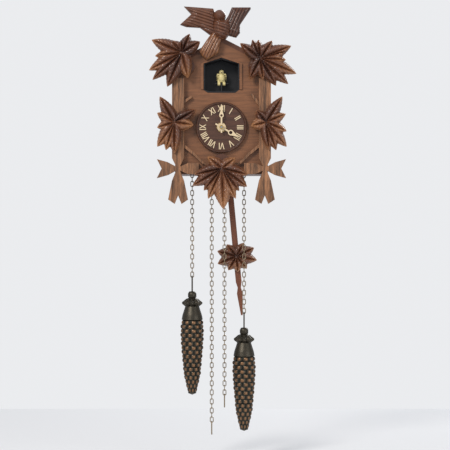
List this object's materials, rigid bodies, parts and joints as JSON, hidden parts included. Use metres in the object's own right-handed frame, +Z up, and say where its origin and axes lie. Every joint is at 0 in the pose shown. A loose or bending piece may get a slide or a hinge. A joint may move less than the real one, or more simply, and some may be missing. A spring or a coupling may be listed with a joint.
{
  "type": "wall cuckoo clock",
  "caption": "Small carved wooden cuckoo clock with leaves, a ridge bird, a bird in a black window, a leaf pendulum and pine-cone weights on chains.",
  "frame": {"origin": "centre of the hanging hole at the hanger plate's back face, in the plane of the wall", "axes": "+Z up, the dial faces -Y and +Y points into the wall, +X to the right as seen from the front"},
  "size_m": [0.1705, 0.082, 0.5003],
  "materials": {
    "case_wood": "dark brown stain, satin",
    "board_wood": "light orange-brown stain, satin",
    "carved_leaf": "carved, red-brown stain with paler tips",
    "carved_branch": "carved, pale tan stain",
    "rod_wood": "red-brown stain",
    "dial_wood": "dark turned wood, satin",
    "numeral_plastic": "cream",
    "black_plastic": "matt black moulding",
    "bird_plastic": "cream yellow",
    "beak_plastic": "dark brown",
    "steel": "plain",
    "brass": "plain",
    "chain_steel": "dull brassed wire",
    "cast_cone": "dark green-black with bronze highlights",
    "wheel_plastic": "natural acetal",
    "coil_copper": "enamelled winding",
    "board_green": "green laminate",
    "cell_jacket": "plain jacket",
    "speaker_black": "black frame and cone",
    "button_red": "gloss"
  },
  "bodies": {
    "case": {"front_board": "board_wood", "side_left": "case_wood", "side_right": "case_wood", "floor_board": "case_wood", "roof_boards": "case_wood", "back_gable": "board_wood", "hanger_plate": "steel", "screws": "brass", "leaf_top_left": "carved_leaf", "leaf_top_right": "carved_leaf", "leaf_mid_left": "carved_leaf", "leaf_mid_right": "carved_leaf", "leaf_bottom": "carved_leaf", "ridge_bird": "carved_leaf", "post_left": "carved_branch", "post_right": "carved_branch", "cross_rails": "carved_branch", "window_trim": "board_wood", "window_chamber": "black_plastic", "dial_disc": "dial_wood", "dial_numerals": "numeral_plastic", "movement_front": "black_plastic", "movement_back": "black_plastic", "dial_nut": "brass", "step_motor": "coil_copper", "circuit_board": "board_green", "battery_holder": "black_plastic", "batteries": "cell_jacket", "battery_contacts": "steel", "speaker": "speaker_black", "solenoid": "coil_copper", "pendulum_bracket": "steel", "pendulum_coil": "coil_copper", "chain_pins": "steel"},
    "door": {"back_door": "board_wood", "door_pins": "steel"},
    "latch": {"door_latch": "brass"},
    "minute": {"centre_arbor": "steel", "minute_hand": "numeral_plastic", "hand_nut": "brass"},
    "hour": {"hour_wheel": "wheel_plastic", "hour_hand": "numeral_plastic"},
    "setting": {"minute_wheel": "wheel_plastic"},
    "drive": {"drive_pinion": "brass"},
    "cuckoo": {"cuckoo_body": "bird_plastic"},
    "beak": {"cuckoo_beak": "beak_plastic"},
    "wing_left": {"cuckoo_wing_left": "bird_plastic"},
    "wing_right": {"cuckoo_wing_right": "bird_plastic"},
    "plunger": {"solenoid_plunger": "steel"},
    "button": {"test_button": "button_red"},
    "slider": {"volume_slider": "wheel_plastic"},
    "pendulum": {"pendulum_leader": "wheel_plastic", "pendulum_rod": "rod_wood"},
    "bob": {"pendulum_leaf": "carved_leaf"},
    "strand_left_weight": {"chain_left_weight": "chain_steel"},
    "strand_left_free": {"chain_left_free": "chain_steel"},
    "strand_right_free": {"chain_right_free": "chain_steel"},
    "strand_right_weight": {"chain_right_weight": "chain_steel"},
    "cone_left": {"weight_left": "cast_cone"},
    "cone_right": {"weight_right": "cast_cone"}
  },
  "joints": [
    {"name": "door_swing", "type": "hinge", "parent": "case", "child": "door", "pos_m": [-0.045, -0.005, -0.068], "axis": [0, 0, 1], "range_deg": [0, 95]},
    {"name": "latch_turn", "type": "hinge", "parent": "case", "child": "latch", "pos_m": [0.051, -0.0023, -0.0754], "axis": [0, -1, 0], "range_deg": [0, 90]},
    {"name": "minute_turn", "type": "hinge", "parent": "case", "child": "minute", "pos_m": [0, -0.06, -0.0754], "axis": [0, 1, 0], "continuous": true},
    {"name": "hour_turn", "type": "hinge", "parent": "case", "child": "hour", "pos_m": [0, -0.06, -0.0754], "axis": [0, 1, 0], "continuous": true},
    {"name": "setting_turn", "type": "hinge", "parent": "case", "child": "setting", "pos_m": [0, -0.045, -0.0874], "axis": [0, 1, 0], "continuous": true},
    {"name": "drive_turn", "type": "hinge", "parent": "case", "child": "drive", "pos_m": [0.00644, -0.045, -0.06621], "axis": [0, 1, 0], "continuous": true},
    {"name": "cuckoo_bow", "type": "hinge", "parent": "case", "child": "cuckoo", "pos_m": [0, -0.047, -0.0232], "axis": [1, 0, 0], "range_deg": [0, 18]},
    {"name": "beak_open", "type": "hinge", "parent": "cuckoo", "child": "beak", "pos_m": [0, -0.051, -0.01], "axis": [1, 0, 0], "range_deg": [0, 24]},
    {"name": "wing_left_lift", "type": "hinge", "parent": "cuckoo", "child": "wing_left", "pos_m": [-0.00435, -0.047, -0.0122], "axis": [0, 1, 0], "range_deg": [0, 27]},
    {"name": "wing_right_lift", "type": "hinge", "parent": "cuckoo", "child": "wing_right", "pos_m": [0.00435, -0.047, -0.0122], "axis": [0, -1, 0], "range_deg": [0, 27]},
    {"name": "plunger_pull", "type": "slide", "parent": "case", "child": "plunger", "axis": [0, 0, 1], "range_m": [0, 0.00518]},
    {"name": "button_press", "type": "slide", "parent": "case", "child": "button", "axis": [0, -1, 0], "range_m": [0, 0.0015], "stiffness_N_per_m": 150},
    {"name": "volume_slide", "type": "slide", "parent": "case", "child": "slider", "axis": [1, 0, 0], "range_m": [-0.004, 0.004]},
    {"name": "pendulum_swing", "type": "hinge", "parent": "case", "child": "pendulum", "pos_m": [0, -0.016, -0.04], "axis": [0, 1, 0], "range_deg": [0, 10.8]},
    {"name": "bob_slide", "type": "slide", "parent": "pendulum", "child": "bob", "axis": [0.0941, 0, -0.9956], "range_m": [-0.02, 0.012]},
    {"name": "strand_left_weight_swing", "type": "hinge", "parent": "case", "child": "strand_left_weight", "pos_m": [-0.0345, -0.045, -0.12275], "axis": [-1, 0, 0], "range_deg": [-2, 14]},
    {"name": "cone_left_swing", "type": "hinge", "parent": "strand_left_weight", "child": "cone_left", "pos_m": [-0.0345, -0.045, -0.25067], "axis": [-1, 0, 0], "range_deg": [-6, 14]},
    {"name": "strand_left_free_swing", "type": "hinge", "parent": "case", "child": "strand_left_free", "pos_m": [-0.0115, -0.045, -0.12275], "axis": [-1, 0, 0], "range_deg": [-2, 14]},
    {"name": "strand_right_free_swing", "type": "hinge", "parent": "case", "child": "strand_right_free", "pos_m": [0.0035, -0.045, -0.12275], "axis": [-1, 0, 0], "range_deg": [-2, 14]},
    {"name": "strand_right_weight_swing", "type": "hinge", "parent": "case", "child": "strand_right_weight", "pos_m": [0.0265, -0.045, -0.12275], "axis": [-1, 0, 0], "range_deg": [-2, 14]},
    {"name": "cone_right_swing", "type": "hinge", "parent": "strand_right_weight", "child": "cone_right", "pos_m": [0.0265, -0.045, -0.29331], "axis": [-1, 0, 0], "range_deg": [-6, 14]}
  ],
  "couplings": [
    {"joint": "hour_turn", "follows": "minute_turn", "ratio": 0.083333},
    {"joint": "setting_turn", "follows": "minute_turn", "ratio": -0.33333},
    {"joint": "drive_turn", "follows": "minute_turn", "ratio": -7.5},
    {"joint": "cuckoo_bow", "follows": "plunger_pull", "rad_per_m": 60.606},
    {"joint": "beak_open", "follows": "plunger_pull", "rad_per_m": 80.808},
    {"joint": "wing_left_lift", "follows": "plunger_pull", "rad_per_m": 90.909},
    {"joint": "wing_right_lift", "follows": "plunger_pull", "rad_per_m": 90.909}
  ]
}
